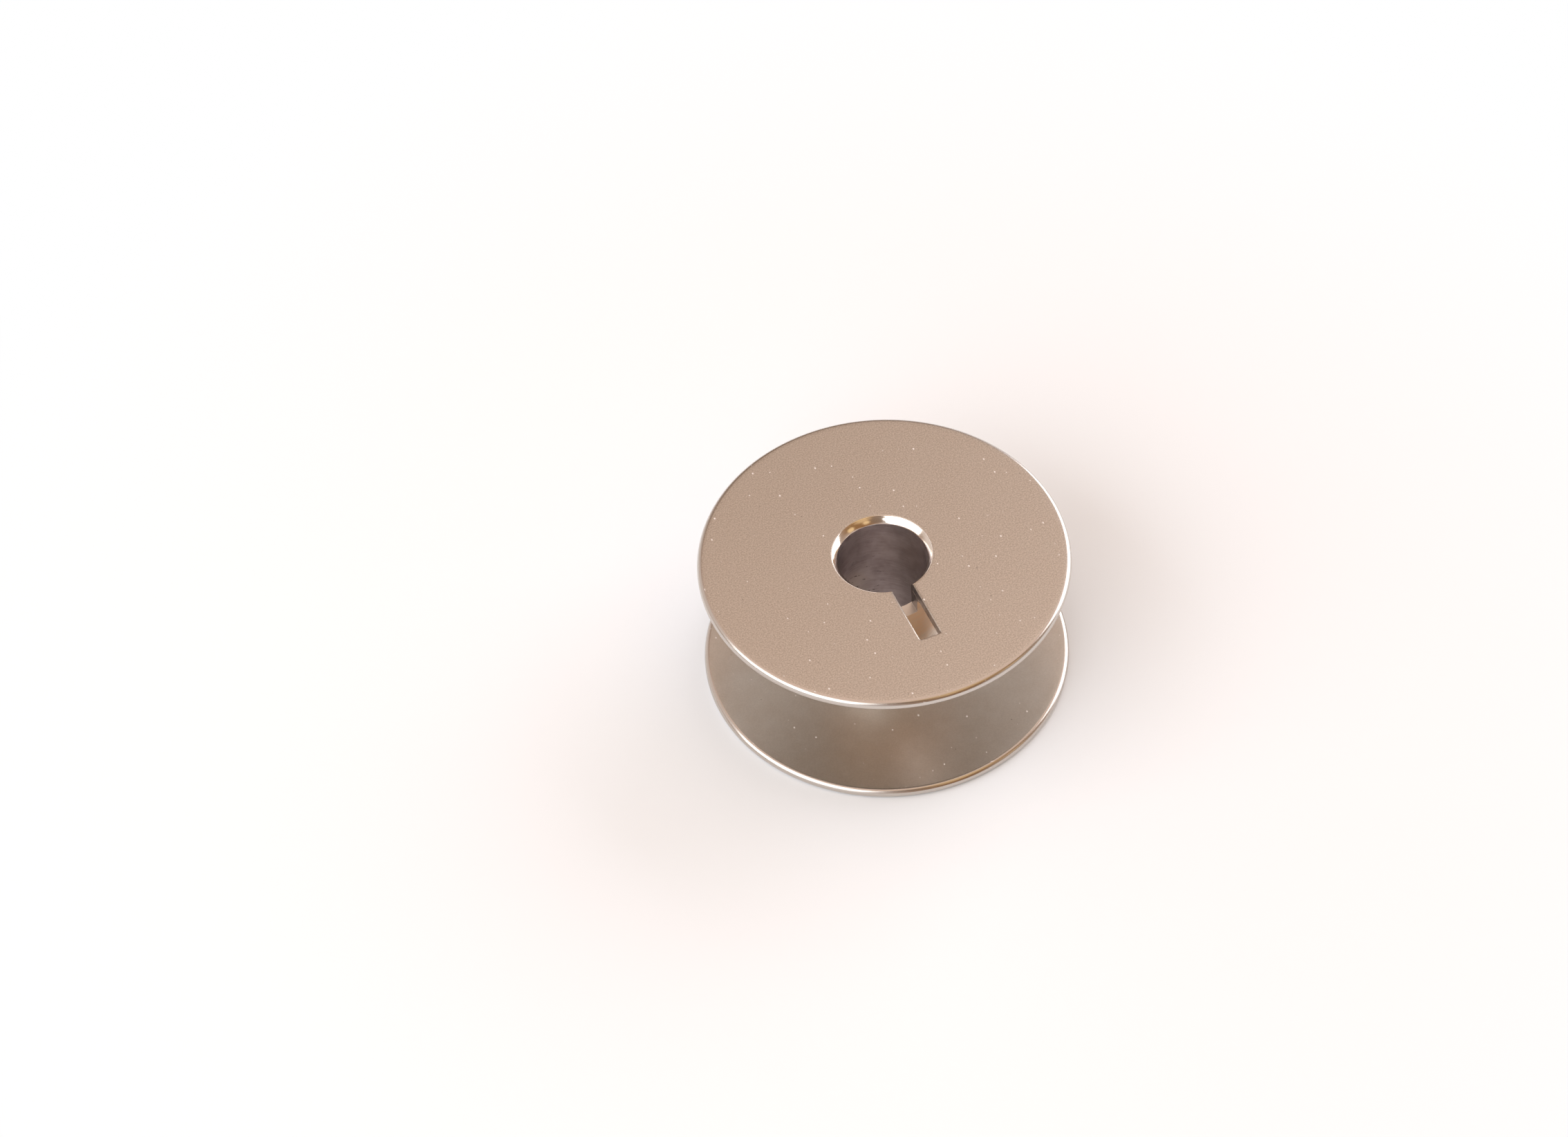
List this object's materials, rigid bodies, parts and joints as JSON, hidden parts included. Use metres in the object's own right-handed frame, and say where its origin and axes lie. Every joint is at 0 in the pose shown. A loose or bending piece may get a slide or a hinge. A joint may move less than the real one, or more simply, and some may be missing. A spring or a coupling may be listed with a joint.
{
  "type": "slotted metal sewing bobbin",
  "caption": "Round metal sewing bobbin: a tubular hub swaged into flat round flanges, each with a straight drive slot from the bore.",
  "frame": {"origin": "on the bore's axis at the outer face of the lower flange", "axes": "+Z along the bore, from the lower flange to the upper; the upper flange's slot points to -Y, the lower one's to +Y"},
  "size_m": [0.0254, 0.0254, 0.0104],
  "materials": {
    "flange_satin_metal": "satin nickel plate with polished rims",
    "hub_bright_metal": "brushed bore, polished mouths"
  },
  "bodies": {
    "root": {"hub_sleeve": "hub_bright_metal", "upper_flange": "flange_satin_metal", "lower_flange": "flange_satin_metal"}
  },
  "joints": []
}
